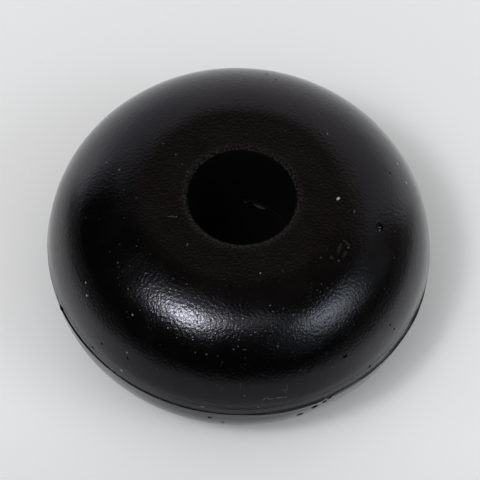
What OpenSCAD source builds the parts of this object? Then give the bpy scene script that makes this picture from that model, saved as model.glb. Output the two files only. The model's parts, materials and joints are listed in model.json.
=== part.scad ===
// Moulded rubber bump stop: a round cushion with a plain bore, which slides on a damper
// rod and takes the blow at the end of the stroke. The base sits at Z = 0 and the bore
// runs along Z. The two halves of the mould met at the parting plane, which leaves a thin
// fin of flash round the widest part.

/* [Body] */
// Diameter of the wall at the parting plane, without the flash
body_d = 50; // [46:0.5:60]
// Height of the lower half, from the base to the parting plane
lower_h = 12.3; // [7:0.1:12.5]
// Height of the upper half, from the parting plane to the top face
upper_h = 12.7; // [9:0.1:13.5]

/* [Walls] */
// Draft of the walls beside the parting plane, in degrees
draft = 5; // [1:0.5:8]
// Height of the drafted wall below the parting plane
lower_land = 1.0; // [0.1:0.1:2]
// Height of the drafted wall above the parting plane
upper_land = 1.4; // [0.3:0.1:3]

/* [Bore] */
// Diameter of the rod bore
bore_d = 14; // [8:0.5:16]
// Radius of the rounded edge at both mouths of the bore
mouth_r = 0.3; // [0.2:0.05:0.8]

/* [Flash] */
// How far the fin of flash stands out of the wall
flash_out = 0.25; // [0.1:0.05:0.6]
// Thickness of the fin where it leaves the wall
flash_root = 0.4; // [0.2:0.05:0.8]
// Thickness of the fin at its edge
flash_tip = 0.15; // [0.05:0.05:0.2]

/* [Hidden] */
$fn = 128;
body_r = body_d / 2;
bore_r = bore_d / 2;
total_h = lower_h + upper_h;

// Radius of the shoulder that is tangent to the drafted wall and to the flat face.
function shoulder_r(h, land) = (h - land) / (1 - sin(draft));

// Radius at which the flat face ends and the shoulder starts.
function flat_r(h, land) = body_r - land * tan(draft) - shoulder_r(h, land) * cos(draft);

// Outline of one half: radius along X, height above the parting plane along Y.
module half_section(h, land) {
    arc_r = shoulder_r(h, land);
    arc_x = flat_r(h, land);
    arc_y = h - arc_r;
    wall_top = [arc_x + arc_r * cos(draft), arc_y + arc_r * sin(draft)];
    polygon([[0, 0], [body_r, 0], wall_top, [arc_x, h], [0, h]]);
    intersection() {
        translate([arc_x, arc_y]) circle(arc_r);
        translate([arc_x, 0]) square([body_r, 2 * h]);
    }
}

// Outline of the fin of flash, centred on the parting plane and rooted in the wall.
module flash_section() {
    root_x = body_r - flash_out;
    tip_x = body_r + flash_out;
    polygon([
        [root_x, -flash_root / 2], [body_r, -flash_root / 2], [tip_x, -flash_tip / 2],
        [tip_x, flash_tip / 2], [body_r, flash_root / 2], [root_x, flash_root / 2]
    ]);
}

// Outline of the bore, with the corner that each rounded mouth takes off.
module bore_section() {
    square([bore_r, total_h]);
    for (mouth = [0, 1])
        translate([0, mouth * total_h]) mirror([0, mouth]) difference() {
            square([bore_r + mouth_r, mouth_r]);
            translate([bore_r + mouth_r, mouth_r]) circle(mouth_r);
        }
}

module bumper() {
    color([0.05, 0.045, 0.045])
        rotate_extrude() difference() {
            translate([0, lower_h]) {
                half_section(upper_h, upper_land);
                mirror([0, 1]) half_section(lower_h, lower_land);
                flash_section();
            }
            bore_section();
        }
}

bumper();
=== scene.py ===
"""A black rubber bump stop as it left its mould, standing on a pale floor under soft lamps.

The piece is one revolved mesh with the marks of moulding in it: the fin of flash round the
outside, the torn skin of flash in the bore, and the pits that air bubbles left. The grain
of the mould, scuffs, dust and a few painted glints are in the rubber's material, and a
painted highlight on the tips of the torn skin is in the bore's material.
"""
import bmesh
import bpy
import json
import math
from mathutils import Matrix, Vector, noise


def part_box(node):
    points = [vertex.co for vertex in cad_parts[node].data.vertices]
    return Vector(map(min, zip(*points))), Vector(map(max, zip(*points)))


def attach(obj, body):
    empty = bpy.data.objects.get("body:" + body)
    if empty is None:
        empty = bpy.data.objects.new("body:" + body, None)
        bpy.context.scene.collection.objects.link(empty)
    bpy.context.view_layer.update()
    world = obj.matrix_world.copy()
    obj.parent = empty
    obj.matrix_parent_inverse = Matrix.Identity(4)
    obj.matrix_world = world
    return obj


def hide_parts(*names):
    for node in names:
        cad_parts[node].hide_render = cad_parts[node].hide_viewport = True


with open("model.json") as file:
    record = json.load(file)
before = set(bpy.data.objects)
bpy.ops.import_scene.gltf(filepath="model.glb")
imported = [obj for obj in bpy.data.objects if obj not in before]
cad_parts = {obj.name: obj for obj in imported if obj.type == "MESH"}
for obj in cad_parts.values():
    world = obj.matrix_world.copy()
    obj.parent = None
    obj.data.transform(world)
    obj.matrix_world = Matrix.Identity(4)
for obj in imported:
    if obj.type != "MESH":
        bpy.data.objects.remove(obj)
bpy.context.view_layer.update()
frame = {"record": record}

MM = 0.001
NODE = "bumper"

# Sizes of the moulding, in millimetres. The outer sizes come from the frame.
FLASH_OUT = 0.25
PARTING_HEIGHT = 12.3
UPPER_LAND = 1.4
LOWER_LAND = 1.0
DRAFT = math.radians(5)
MOUTH_R = 0.3
LOW_CORNER, HIGH_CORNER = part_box(NODE)
BODY_R = (HIGH_CORNER.x - LOW_CORNER.x) / 2 / MM - FLASH_OUT
TOTAL_HEIGHT = (HIGH_CORNER.z - LOW_CORNER.z) / MM
BORE_R = next(m for m in frame["record"]["mounts"] if m["name"] == "rod_bore")["dims"]["r_mm"]

# Half the thickness of the fin and of the skin of flash in the bore, at their roots.
FIN_ROOT = 0.12
SKIN_ROOT = 0.12

# Columns round the piece.
COLUMNS = 560

# Depth of the shallow dips in the shoulders, and the sizes of the swings they are made of.
DIP = 0.05
DIP_BROAD = 9.0
DIP_FINE = 2.6


def shoulder(height, land):
    """Radius of a half's shoulder, and the radius at which its flat face ends."""
    arc_r = (height - land) / (1 - math.sin(DRAFT))
    flat_r = BODY_R - land * math.tan(DRAFT) - arc_r * math.cos(DRAFT)
    return arc_r, flat_r


UPPER_ARC_R, UPPER_FLAT_R = shoulder(TOTAL_HEIGHT - PARTING_HEIGHT, UPPER_LAND)
LOWER_ARC_R, LOWER_FLAT_R = shoulder(PARTING_HEIGHT, LOWER_LAND)


def smooth_noise(azimuth, turns, seed):
    """Noise from about -1 to 1 that closes on itself round the piece, with some swings a turn."""
    x = math.cos(azimuth) * turns / math.tau
    y = math.sin(azimuth) * turns / math.tau
    return noise.noise(Vector((x, y, seed))) * 1.6


def angle_between(a, b):
    """The smaller angle between two azimuths."""
    return abs((a - b + math.pi) % math.tau - math.pi)


def bump_at(azimuth, centre_deg, half_width_deg):
    """A smooth hump that is 1 at its centre and 0 past its half width."""
    away = angle_between(azimuth, math.radians(centre_deg)) / math.radians(half_width_deg)
    return 0.0 if away >= 1 else (1 - away * away) ** 2


def ease(value, low, high):
    """0 below low, 1 above high, and a smooth step between."""
    share = min(max((value - low) / (high - low), 0.0), 1.0)
    return share * share * (3 - 2 * share)


# The outer fin runs round the front, between these two azimuths. The rest was trimmed to a
# trace of this width.
FIN_START_DEG = -154.5
FIN_END_DEG = -2
FIN_TRACE = 0.003

# Width of the outer fin on the left of the front, and what the right has over that.
FIN_WIDTH = 0.13
FIN_WIDER = 0.09

# How high the outer fin starts over the parting plane, and how far it comes down on its way
# round to the front and then on the right.
FIN_LIFT = 0.12
FIN_FALL_FRONT = 0.17
FIN_FALL_RIGHT = 0.05

# Places where the outer fin is torn or stands proud: azimuth, half width, change of width.
FIN_MARKS = [
    (-153.4, 1.2, 0.09),
    (-128, 0.9, -0.05),
    (-116, 0.8, -0.04),
    (-90, 16, -0.055),
    (-59, 2.0, -0.15),
]


# Width of the skin of flash in the bore, and the two tongues of its torn flap: azimuth, half
# width, how much further they stand in.
SKIN_WIDTH = 0.14
SKIN_FLAP = [
    (85, 5, 0.38),
    (68, 15, 0.62),
]


def signed_degrees(azimuth):
    """The azimuth in degrees, from -180 to 180."""
    return (math.degrees(azimuth) + 180) % 360 - 180


def fin_side(degrees):
    """1 on the right of the front, where the fin is wider and lower, and 0 on the left."""
    return ease(degrees, -88, -72)


def fin_width(azimuth):
    """How far the outer fin stands out of the wall."""
    degrees = signed_degrees(azimuth)
    width = FIN_WIDTH + FIN_WIDER * fin_side(degrees)
    width += 0.02 * smooth_noise(azimuth, 24, 1.5) + 0.02 * smooth_noise(azimuth, 90, 2.5)
    for centre, half_width, change in FIN_MARKS:
        width += change * bump_at(azimuth, centre, half_width)
    width *= ease(degrees, FIN_START_DEG - 0.4, FIN_START_DEG + 0.4)
    width *= 1 - ease(degrees, FIN_END_DEG - 20, FIN_END_DEG)
    trimmed = FIN_TRACE + 0.02 * ease(degrees, -172, -162)
    widest = FLASH_OUT - 0.005
    return min(max(width, trimmed), widest)


def fin_shift(azimuth):
    """How far the outer fin wanders up or down."""
    degrees = signed_degrees(azimuth)
    lift = FIN_LIFT - FIN_FALL_FRONT * ease(degrees, -145, -115) - FIN_FALL_RIGHT * fin_side(degrees)
    return lift + 0.04 * smooth_noise(azimuth, 9, 3.5) + 0.025 * smooth_noise(azimuth, 60, 4.5)


def skin_width(azimuth):
    """How far the skin of flash stands into the bore: a thin rim with one wide torn flap."""
    width = SKIN_WIDTH
    width += 0.05 * smooth_noise(azimuth, 20, 5.5) + 0.04 * smooth_noise(azimuth, 80, 6.5)
    for centre, half_width, change in SKIN_FLAP:
        width += change * bump_at(azimuth, centre, half_width)
    return width


class Row:
    """One ring of the mesh: its radius and height, and how far flash and dips move it.

    fin and skin are shares of the flash's width, dip is the depth of the dips along normal,
    and dull rings have the matt finish of the bore.
    """

    def __init__(self, radius, height, fin=0.0, skin=0.0, dip=0.0, normal=(0.0, 0.0), dull=False):
        self.radius = radius
        self.height = height
        self.fin = fin
        self.skin = skin
        self.dip = dip
        self.normal = normal
        self.dull = dull

    def point(self, azimuth):
        """The ring's corner at that azimuth."""
        radius = self.radius + self.fin * fin_width(azimuth) - self.skin * skin_width(azimuth)
        height = self.height
        if self.fin:
            height += fin_shift(azimuth)
        if self.dip:
            down = self.dip * unevenness(azimuth, radius, height)
            radius -= down * self.normal[0]
            height -= down * self.normal[1]
        return Vector((radius * math.cos(azimuth), radius * math.sin(azimuth), height)) * MM


def unevenness(azimuth, radius, height):
    """Shallow dips in the rubber, from 0 to 1, a few millimetres across."""
    place = Vector((radius * math.cos(azimuth), radius * math.sin(azimuth), height))
    elsewhere = Vector((7, 3, 1))
    broad = noise.noise(place / DIP_BROAD)
    fine = noise.noise(place / DIP_FINE + elsewhere)
    return min(max(0.5 + 0.6 * broad + 0.25 * fine, 0.0), 1.0)


def arc_rows(arc_r, flat_r, height, up, steps):
    """Rings of a shoulder, from the flat face to the drafted wall. up is 1 above and -1 below."""
    steps_to_full_dip = 6
    rows = []
    for i in range(steps + 1):
        tilt = (math.pi / 2 - DRAFT) * i / steps
        radius = flat_r + arc_r * math.sin(tilt)
        rise = height + up * arc_r * (math.cos(tilt) - 1)
        dip = DIP * min(1.0, i / steps_to_full_dip)
        rows.append(Row(radius, rise, dip=dip, normal=(math.sin(tilt), up * math.cos(tilt))))
    return rows


def flat_rows(inner_r, outer_r, height, steps):
    """Rings of a flat face, without its outer edge."""
    return [Row(inner_r + (outer_r - inner_r) * i / steps, height) for i in range(steps)]


def mouth_rows(height, up, steps=4):
    """Rings of a rounded mouth, from the bore to the flat face, without its outer edge."""
    rows = []
    for i in range(steps):
        turn = math.pi / 2 * i / steps
        radius = BORE_R + MOUTH_R * (1 - math.cos(turn))
        rows.append(Row(radius, height + up * MOUTH_R * (math.sin(turn) - 1), dull=True))
    return rows


def fin_rows():
    """Rings of the outer fin, from above the parting plane to below it."""
    section = [(0.0, FIN_ROOT), (0.35, 0.09), (0.75, 0.06), (0.95, 0.03), (1.0, 0.0),
               (0.95, -0.03), (0.75, -0.06), (0.35, -0.09), (0.0, -FIN_ROOT)]
    return [Row(wall_radius(rise), PARTING_HEIGHT + rise, fin=share) for share, rise in section]


def wall_radius(rise):
    """Radius of the drafted wall that far above or below the parting plane."""
    return BODY_R - abs(rise) * math.tan(DRAFT)


def wall_rows(start, end, steps):
    """Rings of the drafted wall between two rises over the parting plane, without its ends."""
    rises = [start + (end - start) * i / steps for i in range(1, steps)]
    return [Row(wall_radius(rise), PARTING_HEIGHT + rise) for rise in rises]


def skin_rows():
    """Rings of the skin of flash in the bore, from below the parting plane to above it."""
    section = [(0.0, -SKIN_ROOT), (0.5, -0.08), (0.9, -0.05), (1.0, 0.0),
               (0.9, 0.05), (0.5, 0.08), (0.0, SKIN_ROOT)]
    return [Row(BORE_R, PARTING_HEIGHT + rise, skin=share, dull=True) for share, rise in section]


def bore_rows(low, high, steps):
    """Rings of the bore's wall between two heights, without its ends."""
    return [Row(BORE_R, low + (high - low) * i / steps, dull=True) for i in range(1, steps)]


def profile():
    """All rings in order: down the outside from the top, in under the base, and up the bore."""
    rows = flat_rows(BORE_R + MOUTH_R, UPPER_FLAT_R, TOTAL_HEIGHT, steps=12)
    rows += arc_rows(UPPER_ARC_R, UPPER_FLAT_R, TOTAL_HEIGHT, up=1, steps=58)
    rows += wall_rows(UPPER_LAND, FIN_ROOT, steps=5)
    rows += fin_rows()
    rows += wall_rows(-FIN_ROOT, -LOWER_LAND, steps=4)
    rows += reversed(arc_rows(LOWER_ARC_R, LOWER_FLAT_R, 0.0, up=-1, steps=34))
    rows += reversed(flat_rows(BORE_R + MOUTH_R, LOWER_FLAT_R, 0.0, steps=4))
    rows += reversed(mouth_rows(0.0, up=-1))
    rows += bore_rows(MOUTH_R, PARTING_HEIGHT - SKIN_ROOT, steps=5)
    rows += skin_rows()
    rows += bore_rows(PARTING_HEIGHT + SKIN_ROOT, TOTAL_HEIGHT - MOUTH_R, steps=9)
    rows += mouth_rows(TOTAL_HEIGHT, up=1)
    return rows


def revolved_mesh(name, rows):
    """A closed mesh with one column of quads for each step round the axis."""
    count = len(rows)
    vertices = []
    for column in range(COLUMNS):
        azimuth = math.tau * column / COLUMNS
        vertices += [row.point(azimuth) for row in rows]
    faces = []
    finishes = []
    for column in range(COLUMNS):
        here = column * count
        there = (column + 1) % COLUMNS * count
        for i in range(count):
            j = (i + 1) % count
            faces.append((here + i, here + j, there + j, there + i))
            finishes.append(int(rows[i].dull or rows[j].dull))
    mesh = bpy.data.meshes.new(name)
    mesh.from_pydata(vertices, [], faces)
    mesh.polygons.foreach_set("material_index", finishes)
    return mesh


def turned(azimuth_deg, radius, height):
    """A vector from its radius, height and azimuth."""
    turn = math.radians(azimuth_deg)
    return Vector((radius * math.cos(turn), radius * math.sin(turn), height))


def surface_place(azimuth_deg, reach):
    """Point and outward normal on the upper half, at a distance from the axis over the surface."""
    if reach <= UPPER_FLAT_R:
        radius, height, tilt = reach, TOTAL_HEIGHT, 0.0
    else:
        tilt = min((reach - UPPER_FLAT_R) / UPPER_ARC_R, math.pi / 2 - DRAFT)
        down = reach - UPPER_FLAT_R - UPPER_ARC_R * tilt
        radius = UPPER_FLAT_R + UPPER_ARC_R * math.sin(tilt) + down * math.sin(DRAFT)
        height = TOTAL_HEIGHT + UPPER_ARC_R * (math.cos(tilt) - 1) - down * math.cos(DRAFT)
    normal = turned(azimuth_deg, math.sin(tilt), math.cos(tilt))
    return turned(azimuth_deg, radius, height) * MM, normal


def lower_place(azimuth_deg, below):
    """Point and outward normal on the lower half, that far below the parting plane."""
    if below < LOWER_LAND:
        tilt = DRAFT
        radius = wall_radius(below)
    else:
        drop = LOWER_ARC_R - PARTING_HEIGHT + below
        tilt = math.asin(min(drop / LOWER_ARC_R, 1.0))
        radius = LOWER_FLAT_R + LOWER_ARC_R * math.cos(tilt)
    normal = turned(azimuth_deg, math.cos(tilt), -math.sin(tilt))
    return turned(azimuth_deg, radius, PARTING_HEIGHT - below) * MM, normal


# Bubble pits in the upper half: azimuth, reach, width, length along the ring, depth.
UPPER_PITS = [
    (-7.6, 18.35, 1.12, 1.18, 0.60),
    (-52, 26.3, 0.42, 0.75, 0.35),
    (-44, 31.2, 0.35, 0.55, 0.30),
    (-123, 27.7, 0.40, 0.45, 0.30),
    (-133, 28.7, 0.32, 0.34, 0.25),
    (-136, 31.0, 0.35, 0.50, 0.25),
    (-33, 27.3, 0.30, 0.32, 0.25),
    (-32, 28.6, 0.26, 0.40, 0.20),
    (19, 20.6, 0.30, 0.32, 0.25),
    (17, 25.9, 0.28, 0.30, 0.20),
    (14, 26.6, 0.26, 0.30, 0.20),
    (47, 13.9, 0.32, 0.34, 0.25),
    (84, 21.6, 0.30, 0.30, 0.22),
    (82, 23.6, 0.28, 0.32, 0.20),
    (80, 20.2, 0.24, 0.26, 0.20),
]
# Pits in the lower half: azimuth, distance below the parting plane, width, length, depth.
LOWER_PITS = [
    (-58.6, 0.72, 0.70, 0.80, 0.45),
    (-60.1, 1.28, 0.70, 0.72, 0.40),
    (-63.3, 1.80, 0.95, 0.95, 0.45),
    (-67.6, 3.20, 1.20, 0.95, 0.50),
    (-95.2, 1.85, 0.70, 0.60, 0.40),
    (-91.3, 3.40, 0.60, 0.50, 0.25),
]


# How deep the centre of a pit's ball lies under the skin, as a share of the pit's depth.
PIT_SINK = 0.12


def ring_direction(place):
    """Direction round the axis at that place."""
    return Vector((-place.y, place.x, 0)).normalized()


def pit_cutter(name, pits):
    """All the pits as one mesh of flattened balls, with their widest part just under the skin."""
    cutter = bmesh.new()
    for place, normal, width, length, depth in pits:
        along = ring_direction(place)
        across = normal.cross(along)
        basis = Matrix((along * length / 2, across * width / 2, normal * depth)).transposed()
        basis = (basis * MM).to_4x4()
        basis.translation = place - normal * depth * PIT_SINK * MM
        bmesh.ops.create_icosphere(cutter, subdivisions=3, radius=1, matrix=basis)
    mesh = bpy.data.meshes.new(name)
    cutter.to_mesh(mesh)
    cutter.free()
    piece = bpy.data.objects.new(name, mesh)
    bpy.context.scene.collection.objects.link(piece)
    return piece


def cut_pits(piece):
    """Takes the pits out of the piece."""
    pits = [(*surface_place(azimuth, reach), *size) for azimuth, reach, *size in UPPER_PITS]
    pits += [(*lower_place(azimuth, below), *size) for azimuth, below, *size in LOWER_PITS]
    cutter = pit_cutter("pit_cutter", pits)
    modifier = piece.modifiers.new("pits", "BOOLEAN")
    modifier.operation = "DIFFERENCE"
    modifier.solver = "EXACT"
    modifier.object = cutter
    graph = bpy.context.evaluated_depsgraph_get()
    result = bpy.data.meshes.new_from_object(piece.evaluated_get(graph))
    piece.modifiers.clear()
    piece.data = result
    bpy.data.objects.remove(cutter)


def build_bumper():
    """The whole piece: glossy outside, and dull in the bore and round its mouths."""
    sharp_angle = math.radians(40)
    mesh = revolved_mesh("bump_stop", profile())
    mesh.materials.append(rubber_material())
    mesh.materials.append(bore_material())
    piece = bpy.data.objects.new("bump_stop", mesh)
    bpy.context.scene.collection.objects.link(piece)
    cut_pits(piece)
    piece.data.shade_smooth()
    piece.data.set_sharp_from_angle(angle=sharp_angle)
    return piece


class Nodes:
    """A short way to add and link shader nodes."""

    def __init__(self, tree):
        self.tree = tree

    def add(self, kind, inputs=(), **settings):
        """A new node. Each input is a plain value, or the output of another node."""
        node = self.tree.nodes.new(kind)
        for key, value in settings.items():
            setattr(node, key, value)
        for key, value in dict(inputs).items():
            if isinstance(value, bpy.types.NodeSocket):
                self.tree.links.new(value, node.inputs[key])
            else:
                node.inputs[key].default_value = value
        return node

    def math(self, operation, a, b=0.0):
        return self.add("ShaderNodeMath", {0: a, 1: b}, operation=operation).outputs[0]

    def times(self, first, *others):
        """The product of all the values."""
        for other in others:
            first = self.math("MULTIPLY", first, other)
        return first

    def plus(self, first, *others):
        """The sum of all the values."""
        for other in others:
            first = self.math("ADD", first, other)
        return first

    def larger(self, a, b):
        return self.math("MAXIMUM", a, b)

    def smooth(self, value, low, high, out_low=0.0, out_high=1.0):
        """A smooth step from out_low, where the value is low, to out_high, where it is high."""
        ranges = {
            "Value": value, "From Min": low, "From Max": high, "To Min": out_low, "To Max": out_high,
        }
        return self.add("ShaderNodeMapRange", ranges, interpolation_type="SMOOTHSTEP").outputs[0]

    def mix(self, share, a, b):
        """Colour a where the share is 0, and colour b where it is 1."""
        node = self.add("ShaderNodeMix", {"Factor": share, "A": a, "B": b}, data_type="RGBA")
        return node.outputs["Result"]

    def vector(self, operation, inputs, output=0):
        return self.add("ShaderNodeVectorMath", inputs, operation=operation).outputs[output]

    def split(self, vector):
        """The X, Y and Z of a vector."""
        return self.add("ShaderNodeSeparateXYZ", {"Vector": vector}).outputs

    def noise(self, place, scale, detail, roughness=0.5):
        """Noise from 0 to 1, with about as many swings in a metre as its scale says."""
        inputs = {"Vector": place, "Scale": scale, "Detail": detail, "Roughness": roughness}
        return self.add("ShaderNodeTexNoise", inputs).outputs[0]

    def cells(self, place, scale):
        """Distance from the nearest of many scattered centres, and three random values of it."""
        nearest = self.add("ShaderNodeTexVoronoi", {"Vector": place, "Scale": scale}, feature="F1")
        pick = self.add("ShaderNodeSeparateColor", {"Color": nearest.outputs["Color"]})
        return nearest.outputs["Distance"], *pick.outputs

    def length(self, x, y):
        return self.math("SQRT", self.plus(self.times(x, x), self.times(y, y)))

    def backness(self, x, y):
        """1 straight behind the piece, -1 straight in front of it, and 0 to the sides."""
        return self.math("DIVIDE", y, self.larger(self.length(x, y), 0.001))

    def behind(self, x, y, less=0.0):
        """1 behind the piece, where the bright wall is, and 0 in front and to the sides."""
        return self.smooth(self.math("SUBTRACT", self.backness(x, y), less), 0.42, 0.62)

    def surface(self, inputs):
        """The surface of the material."""
        shader = self.add("ShaderNodeBsdfPrincipled", inputs)
        self.add("ShaderNodeOutputMaterial", {"Surface": shader.outputs[0]})


def new_material(name):
    """An empty material, its nodes, and where a shaded point is on its object, in metres."""
    material = bpy.data.materials.new(name)
    material.use_nodes = True
    material.node_tree.nodes.clear()
    n = Nodes(material.node_tree)
    return material, n, n.add("ShaderNodeTexCoord").outputs["Object"]


# Scattered dust: cells in a metre, share of them that hold a speck, and the smallest and the
# largest speck as shares of a cell.
DUST_CELLS = 1700
DUST_CHANCE = 0.35
DUST_SIZES = (0.1, 0.3)


def dust(n, place):
    """Share of dust on the surface: scattered round specks of mixed size and strength."""
    distance, chance, girth, paleness = n.cells(place, DUST_CELLS)
    size = n.smooth(girth, 0.0, 1.0, *DUST_SIZES)
    speck = n.smooth(distance, n.times(size, 0.4), size, 1.0, 0.0)
    chosen = n.math("LESS_THAN", chance, DUST_CHANCE)
    return n.times(speck, chosen, n.math("POWER", paleness, 3.0))


# Specks of dust and scuffs that can be told apart, and three painted glints: the specks at
# (24.3, 23.1) and (16.9, 23.6) on the right shoulder, and at (-8.0, 18.65) in the largest pit.
# Columns: azimuth, reach, length, width, turn of the length outwards from the ring in degrees,
# strength.
SPECKS = [
    (3, 12.4, 0.70, 0.42, 40, 1.4), (-4, 14.6, 0.65, 0.26, 10, 0.16),
    (-22, 14.5, 0.26, 0.26, 0, 0.14), (-24.2, 15.4, 0.4, 0.3, 0, 0.14),
    (-33, 15.4, 0.4, 0.3, 30, 0.12), (-38, 13.4, 0.3, 0.26, 0, 0.1),
    (47.5, 14.2, 0.26, 0.26, 0, 0.1), (44.7, 14.8, 0.4, 0.3, 0, 0.26),
    (24.3, 23.1, 0.4, 0.32, 0, 1.2), (16.9, 23.6, 0.42, 0.32, 0, 1.2),
    (168.8, 16.4, 0.46, 0.34, 0, 0.2), (165.5, 18.6, 0.34, 0.3, 0, 0.2),
    (146, 12.8, 0.28, 0.24, 0, 0.16), (147.8, 10.5, 0.28, 0.26, 0, 0.2),
    (152, 9.0, 0.28, 0.24, 0, 0.08), (155.7, 7.9, 0.3, 0.26, 0, 0.08),
    (-175, 13.6, 0.28, 0.26, 0, 0.08), (-130.6, 10.1, 0.6, 0.26, 70, 0.19),
    (-148, 15.4, 0.3, 0.26, 0, 0.1), (-153, 17.2, 0.4, 0.4, 0, 0.03),
    (-152.6, 18.8, 0.34, 0.28, 0, 0.06), (-146.5, 18.6, 0.4, 0.3, 0, 0.13),
    (-149.4, 24.0, 0.3, 0.28, 0, 0.95), (-146, 25.0, 0.4, 0.32, 0, 0.75),
    (-128, 21.9, 0.32, 0.3, 0, 0.45), (-75, 11.5, 0.3, 0.28, 0, 0.55),
    (-73.8, 21.5, 0.34, 0.3, 0, 0.11), (-124.2, 30.7, 0.34, 0.3, 0, 1.4),
    (-124, 27.0, 0.28, 0.26, 0, 0.5), (-98.5, 22.6, 0.36, 0.3, 0, 0.14),
    (-102.3, 22.7, 0.3, 0.26, 0, 0.11), (-89.4, 21.5, 0.34, 0.3, 0, 0.1),
    (-85.5, 21.5, 0.8, 0.18, 0, 0.1), (-81, 30.8, 0.4, 0.36, 0, 0.18),
    (-97.5, 31.3, 0.8, 0.45, 0, 0.2), (-85.3, 28.3, 0.36, 0.32, 0, 0.14),
    (-156.2, 9.0, 0.28, 0.22, 0, 0.22), (-72.7, 29.4, 0.3, 0.26, 0, 0.22),
    (-8.0, 18.65, 0.4, 0.3, 0, 0.5), (-26.9, 14.5, 1.9, 0.5, 168, 0.03),
    (-22.7, 15.1, 1.3, 0.45, 114, 0.03), (-28.3, 15.5, 1.3, 0.5, 172, 0.03),
    (-33.8, 14.4, 0.7, 0.5, 100, 0.035),
]
# Hairs and fine scratches: strength, then the corners they run through as azimuth and reach.
HAIRS = [
    (0.28, [(-80.0, 29.4), (-78.7, 28.9), (-77.5, 29.3), (-76.3, 29.2), (-72.7, 29.4)]),
    (0.08, [(-74.0, 27.6), (-72.6, 28.6), (-72.0, 27.0)]),
    (0.06, [(-86.8, 26.0), (-86.6, 27.4)]),
    (0.07, [(-91.8, 26.8), (-92.8, 28.0)]),
    (0.18, [(-158.6, 10.2), (-156.2, 9.0)]),
]
HAIR_WIDTH = 0.13

# Half the depth of a mark, which only has to reach through the dips of the surface.
MARK_DEPTH = 1.5

# How far the edges of the marks stray, and the swings of that in a metre.
STRAY = 0.15
STRAY_SCALE = 5000


def spot(n, place, centre, along, normal, length, width, strength):
    """Strength of one oblong mark: full in its middle, and nothing past its edge."""
    basis = Matrix((along, normal.cross(along), normal)).transposed()
    size = Vector((length / 2, width / 2, MARK_DEPTH)) * MM
    settings = {"Vector": place, "Location": centre, "Rotation": basis.to_euler(), "Scale": size}
    own = n.add("ShaderNodeMapping", settings, vector_type="TEXTURE").outputs[0]
    away = n.vector("LENGTH", {0: own}, output="Value")
    return n.smooth(away, 0.5, 1.0, strength, 0.0)


def speck_spot(n, place, azimuth, reach, length, width, turn_deg, strength):
    """One speck of SPECKS."""
    centre, normal = surface_place(azimuth, reach)
    around = ring_direction(centre)
    turn = math.radians(turn_deg)
    along = around * math.cos(turn) + around.cross(normal) * math.sin(turn)
    return spot(n, place, centre, along, normal, length, width, strength)


def hair_spots(n, place, strength, corners):
    """The straight stretches of one hair of HAIRS."""
    points = [surface_place(*corner) for corner in corners]
    spots = []
    for (start, _), (end, normal) in zip(points, points[1:]):
        along = end - start
        along -= normal * along.dot(normal)
        length = along.length / MM + HAIR_WIDTH
        along.normalize()
        centre = (start + end) / 2
        spots.append(spot(n, place, centre, along, normal, length, HAIR_WIDTH, strength))
    return spots


def marks(n, place):
    """Share of dust and of painted glints in the specks and hairs above, with slightly ragged edges.
    """
    ragged = n.add("ShaderNodeTexNoise", {"Vector": place, "Scale": STRAY_SCALE, "Detail": 1})
    shift = n.vector("SUBTRACT", {0: ragged.outputs["Color"], 1: (0.5, 0.5, 0.5)})
    shift = n.vector("SCALE", {0: shift, "Scale": STRAY * MM})
    place = n.vector("ADD", {0: place, 1: shift})
    spots = [speck_spot(n, place, *speck) for speck in SPECKS]
    for strength, corners in HAIRS:
        spots += hair_spots(n, place, strength, corners)
    total = 0.0
    for each in spots:
        total = n.larger(total, each)
    return total


# Colours. Each black is a pair, for its darker and its paler patches.
GLOSSY_BLACK = [(0.0006, 0.0004, 0.0004, 1), (0.0011, 0.0008, 0.0007, 1)]
DULL_BLACK = [(0.0007, 0.0006, 0.0006, 1), (0.0012, 0.001, 0.001, 1)]
WORN_MOUTH = (0.013, 0.0115, 0.0115, 1)
TORN_EDGE = (0.013, 0.012, 0.012, 1)
# Painted highlight for the tips of the torn flap in the bore, standing for their lit edges.
FLAP_PAINTED_HIGHLIGHT = (0.038, 0.034, 0.041, 1)
# Pale colour of the dust and scuffs, and of the painted glints among the specks.
PALE_DUST_AND_GLINT = (0.28, 0.27, 0.26, 1)
PALE_FLOOR = (0.782, 0.775, 0.737, 1)
NO_LIGHT = (0.0, 0.0, 0.0, 1)

# The torn colour of the fin comes in between these two distances from the wall.
TORN_FROM = 0.034
TORN_FULL = 0.084

# Swings of the grain in a metre, and how deep it is in metres where its height is 1.
GRAIN_SCALE = 2600
GRAIN_DEPTH = 0.00004
# The grain has its full height in front of the first of these places along Y, in metres,
# and its lowest behind the second.
GRAIN_FRONT = -0.014
GRAIN_BACK = -0.004

# Cells of the grit and of the pinholes in a metre, share of the cells that hold a pinhole, and
# swings of the broad blotches in a metre.
GRIT_CELLS = 2400
PINHOLE_CELLS = 800
PINHOLE_CHANCE = 0.12
BLOTCH_SCALE = 260


def mouth_wear(n, place, radius):
    """Share of the pale speckled wear in a ring round the mouths of the bore."""
    inner = n.smooth(radius, (BORE_R + 0.01) * MM, (BORE_R + 0.06) * MM)
    outer = n.smooth(radius, (BORE_R + 0.4) * MM, (BORE_R + 1.4) * MM, 1.0, 0.0)
    speckle = n.noise(place, scale=3200, detail=1)
    return n.times(inner, outer, n.smooth(speckle, 0.42, 0.68))


def turning_lines(n, x, y, z, radius):
    """Fine lines round the axis, as a lathe left them in the mould."""
    swings_round = 9
    lines_at = n.add("ShaderNodeCombineXYZ", {
        "X": n.times(radius, GRAIN_SCALE),
        "Y": n.times(n.math("DIVIDE", x, radius), swings_round),
        "Z": n.times(n.math("DIVIDE", y, radius), swings_round),
    })
    inputs = {"Vector": lines_at.outputs[0], "W": n.times(z, GRAIN_SCALE), "Scale": 1, "Detail": 1}
    return n.add("ShaderNodeTexNoise", inputs, noise_dimensions="4D").outputs[0]


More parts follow.
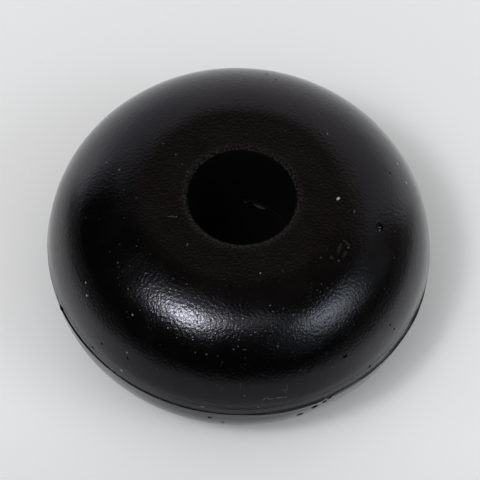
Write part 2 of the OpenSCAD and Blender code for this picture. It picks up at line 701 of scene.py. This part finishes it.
def grain_height(n, place, radius):
    """Height of the grain, with the turning lines, the grit and the pinholes in it."""
    x, y, z = n.split(place)
    grain = n.times(n.noise(place, GRAIN_SCALE, detail=2, roughness=0.6), 1.1)
    height = n.plus(grain, n.times(turning_lines(n, x, y, z, radius), 0.2))
    height = n.times(height, n.smooth(y, GRAIN_FRONT, GRAIN_BACK, 1.0, 0.85))
    height = n.times(height, n.smooth(z, 0.014, 0.0225, 0.6, 1.0))

    distance, chance, _, _ = n.cells(place, GRIT_CELLS)
    grit = n.times(n.smooth(distance, 0.0, 0.4, 1.0, 0.0), n.smooth(chance, 0.5, 1.0, 0.0, 0.6))
    grit = n.times(grit, n.smooth(y, GRAIN_FRONT, GRAIN_BACK, 1.0, 0.3))

    distance, chance, _, _ = n.cells(place, PINHOLE_CELLS)
    pinhole = n.smooth(distance, 0.04, 0.09, -3.0, 0.0)
    pinhole = n.times(pinhole, n.math("LESS_THAN", chance, PINHOLE_CHANCE))
    return n.plus(height, grit, pinhole)


def rubber_material():
    """Black rubber: grain, turning lines of the mould, scuffs, specks of dust, and a few painted
    glints.
    """
    material, n, place = new_material("rubber")
    x, y, _ = n.split(place)
    radius = n.length(x, y)
    height = grain_height(n, place, radius)
    bump = n.add("ShaderNodeBump", {"Height": height, "Strength": 1.0, "Distance": GRAIN_DEPTH})

    blotch = n.noise(place, BLOTCH_SCALE, detail=4, roughness=0.6)
    colour = n.mix(n.smooth(blotch, 0.35, 0.7), *GLOSSY_BLACK)
    colour = n.mix(mouth_wear(n, place, radius), colour, WORN_MOUTH)
    fin_edge = n.smooth(radius, (BODY_R + TORN_FROM) * MM, (BODY_R + TORN_FULL) * MM)
    colour = n.mix(fin_edge, colour, TORN_EDGE)
    scattered = n.times(dust(n, place), n.smooth(y, -0.010, 0.008, 0.08, 0.05))
    # Dust, scuffs and the painted glints among the specks take the pale colour.
    colour = n.mix(n.larger(scattered, marks(n, place)), colour, PALE_DUST_AND_GLINT)

    # The thin rough coat is a haze round the highlights.
    n.surface({
        "Base Color": colour, "Roughness": n.smooth(blotch, 0.3, 0.75, 0.11, 0.19),
        "IOR": 1.52, "Specular Tint": (0.935, 0.91, 1.0, 1),
        "Coat Weight": 0.08, "Coat Roughness": 0.34, "Normal": bump.outputs[0],
    })
    return material


def bore_material():
    """The matt wall of the bore and its mouths, and a painted highlight on the tips of the torn skin
    that stands proud.
    """
    material, n, place = new_material("dull_rubber")
    x, y, _ = n.split(place)
    radius = n.length(x, y)
    grain = n.noise(place, scale=2200, detail=3, roughness=0.6)
    bump = n.add("ShaderNodeBump", {"Height": grain, "Strength": 1.0, "Distance": 0.00005})

    colour = n.mix(n.smooth(grain, 0.35, 0.65), *DULL_BLACK)
    # Painted highlight: where the torn skin stands furthest into the bore, its tips take a paler
    # colour for their lit edges.
    proud = n.smooth(radius, (BORE_R - 0.6) * MM, (BORE_R - 0.3) * MM, 1.0, 0.0)
    colour = n.mix(n.times(proud, n.smooth(grain, 0.3, 0.6, 0.3, 1.0)), colour, FLAP_PAINTED_HIGHLIGHT)
    colour = n.mix(mouth_wear(n, place, radius), colour, WORN_MOUTH)
    n.surface({
        "Base Color": colour, "Roughness": 0.85, "Specular IOR Level": 0.12,
        "Normal": bump.outputs[0],
    })
    return material


def floor_material():
    """Pale and matt, with painted shade that makes it a tenth darker in front.

    A gloss sees it darken with distance, in front and to the sides, where the light fades.
    """
    material, n, place = new_material("pale_floor")
    x, y, _ = n.split(place)
    away = n.length(x, y)
    turn = n.backness(x, y)
    ahead = n.times(n.smooth(turn, -0.95, -0.25, 0.58, 0.0), n.smooth(away, 0.029, 0.041))
    front = n.larger(ahead, n.smooth(turn, -0.97, -0.8, 0.26, 0.0))
    fade = n.larger(n.smooth(away, 0.02, 0.17, 0.0, 0.85), front)
    beside = n.math("SUBTRACT", 1.0, n.behind(x, y))
    glossy = n.add("ShaderNodeLightPath").outputs["Is Glossy Ray"]
    # Painted shade: the floor's colour darkens by a tenth towards the front, where less light falls.
    colour = n.mix(n.smooth(y, -0.036, -0.018, 0.1, 0.0), PALE_FLOOR, NO_LIGHT)
    colour = n.mix(n.times(fade, beside, glossy), colour, NO_LIGHT)
    n.surface({"Base Color": colour, "Roughness": 0.9, "Specular IOR Level": 0.0})
    return material


# Width of the floor, in metres.
FLOOR_SIZE = 6


def build_floor():
    bpy.ops.mesh.primitive_plane_add(size=FLOOR_SIZE)
    floor = bpy.context.object
    floor.name = "floor"
    floor.data.materials.append(floor_material())


def direction(azimuth_deg, elevation_deg):
    """The unit vector that points that way."""
    rise = math.radians(elevation_deg)
    return turned(azimuth_deg, math.cos(rise), math.sin(rise))


# Brightness of the room as a gloss shows it, and of the sky that lights a matt surface.
DIM_ROOM = 0.008
SOFT_FILL = 0.72

# Colours of the wall, of the ceiling and of the view past the floor.
COOL_WALL = (0.97, 0.975, 1.05, 1)
WARM_CEILING = (1.0, 0.80, 0.62, 1)
PALE_VIEW = (0.74, 0.75, 0.745, 1)


def build_world():
    """A dim room with a bright wall behind the piece, and a pale view past the floor."""
    world = bpy.data.worlds.new("room")
    bpy.context.scene.world = world
    world.use_nodes = True
    world.node_tree.nodes.clear()
    n = Nodes(world.node_tree)
    x, y, z = n.split(n.add("ShaderNodeTexCoord").outputs["Generated"])
    ray = n.add("ShaderNodeLightPath").outputs

    # The wall draws in on the left as it rises, and gets dimmer upwards and to the right. It
    # lights a matt surface less than a gloss shows it.
    behind = n.behind(x, y, n.times(n.smooth(x, -0.4, 0.0, 0.35, 0.0), z))
    wall = n.times(n.smooth(z, 0.66, 0.84, 1.0, 0.0), n.smooth(z, 0.0, 0.75, 0.76, 0.42))
    wall = n.times(wall, n.smooth(x, -0.95, -0.5, 1.2, 0.8), n.smooth(x, 0.0, 0.5, 1.0, 0.83))
    shown = n.smooth(ray["Is Diffuse Ray"], 0.0, 1.0, 1.0, 0.4)

    # The sky lights a matt surface from above and in front. A faint skirting runs round the
    # room, but not in front.
    above = n.math("SUBTRACT", n.times(z, 0.8), n.times(y, 0.6))
    fill = n.times(n.smooth(above, -0.3, 0.9, 0.0, SOFT_FILL), ray["Is Diffuse Ray"])
    skirting = n.times(n.smooth(z, 0.0, 0.14, 0.12, 0.0), n.smooth(y, -0.9, -0.4))
    cool = n.plus(n.times(behind, wall, shown), n.plus(fill, skirting, DIM_ROOM))

    # A warm glow comes from the middle and the right, overhead and behind, and is stronger
    # lower down behind.
    low_ceiling = n.times(n.smooth(y, 0.1, 0.4), n.smooth(z, 0.845, 0.885, 0.08, 0.0))
    high = n.plus(n.smooth(y, -0.3, 0.1, 0.0, 0.045), low_ceiling)
    glow = n.times(n.smooth(x, -0.35, -0.1), n.smooth(x, 0.25, 0.55, 1.0, 0.5), high)

    wall_light = n.add("ShaderNodeBackground", {"Color": COOL_WALL, "Strength": cool})
    ceiling_light = n.add("ShaderNodeBackground", {"Color": WARM_CEILING, "Strength": glow})
    room = n.add("ShaderNodeAddShader", {0: wall_light.outputs[0], 1: ceiling_light.outputs[0]})
    view = n.add("ShaderNodeBackground", {"Color": PALE_VIEW, "Strength": 1.0})
    both = {0: ray["Is Camera Ray"], 1: room.outputs[0], 2: view.outputs[0]}
    shader = n.add("ShaderNodeMixShader", both)
    n.add("ShaderNodeOutputWorld", {"Surface": shader.outputs[0]})


# Distance of the lamps from the piece, in metres, and their colours.
LAMP_DISTANCE = 2.0
KEY_COLOUR = (0.97, 1.0, 1.06)
HALO_COLOUR = (1.0, 1.0, 1.03)
BETWEEN_COLOUR = (1.0, 0.97, 1.0)
SIDE_COLOUR = (0.84, 0.95, 1.0)


def soft_lamp(name, azimuth_deg, elevation_deg, width_deg, height_deg, radiance, colour):
    """A rectangular lamp that faces the piece, at a given brightness as the piece sees it."""
    data = bpy.data.lights.new(name, "AREA")
    data.shape = "RECTANGLE"
    data.size = 2 * LAMP_DISTANCE * math.tan(math.radians(width_deg / 2))
    data.size_y = 2 * LAMP_DISTANCE * math.tan(math.radians(height_deg / 2))
    data.energy = radiance * math.pi * data.size * data.size_y
    data.color = colour
    lamp = bpy.data.objects.new(name, data)
    bpy.context.scene.collection.objects.link(lamp)
    away = direction(azimuth_deg, elevation_deg)
    lamp.location = away * LAMP_DISTANCE
    lamp.rotation_euler = away.to_track_quat("Z", "Y").to_euler()


def build_lamps():
    """A key lamp from the left, a weaker one from the right, and a faint streak between them."""
    soft_lamp("key", -129.5, 60, 24, 20, 4.6, KEY_COLOUR)
    soft_lamp("key_heart", -130, 60, 8, 8, 28.0, KEY_COLOUR)
    soft_lamp("key_halo", -136, 58, 46, 34, 0.10, HALO_COLOUR)
    soft_lamp("key_top", -145, 77, 26, 12, 0.4, KEY_COLOUR)
    soft_lamp("between", -94, 69, 36, 11, 0.74, BETWEEN_COLOUR)
    soft_lamp("side", -25, 42.5, 28, 24, 1.42, SIDE_COLOUR)
    soft_lamp("side_heart", -28, 45, 13, 10, 2.9, SIDE_COLOUR)
    soft_lamp("side_halo", -20, 38, 70, 40, 0.13, SIDE_COLOUR)


def build_camera():
    """A long lens from in front, looking down at about sixty degrees."""
    elevation = 60.15
    roll = math.radians(3.79)
    distance = 0.7
    pixels_per_mm = 7.653
    frame_px = 480
    centre_px = (238.7, 245.5)
    data = bpy.data.cameras.new("camera")
    data.sensor_fit = "HORIZONTAL"
    data.sensor_width = 36
    data.lens = pixels_per_mm * distance / MM / frame_px * data.sensor_width
    camera = bpy.data.objects.new("camera", data)
    bpy.context.scene.collection.objects.link(camera)
    away = direction(-90, elevation)
    level = Vector((1, 0, 0))
    lift = away.cross(level)
    right = level * math.cos(roll) + lift * math.sin(roll)
    up = lift * math.cos(roll) - level * math.sin(roll)
    target = Vector((0, 0, PARTING_HEIGHT * MM))
    target += right * (frame_px / 2 - centre_px[0]) / pixels_per_mm * MM
    target += up * (centre_px[1] - frame_px / 2) / pixels_per_mm * MM
    place = Matrix((right, up, away)).transposed().to_4x4()
    place.translation = target + away * distance
    camera.matrix_world = place
    bpy.context.scene.camera = camera


piece = build_bumper()
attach(piece, "root")
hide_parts(NODE)
build_floor()
build_world()
build_lamps()
build_camera()
bpy.context.scene.view_settings.view_transform = "Standard"
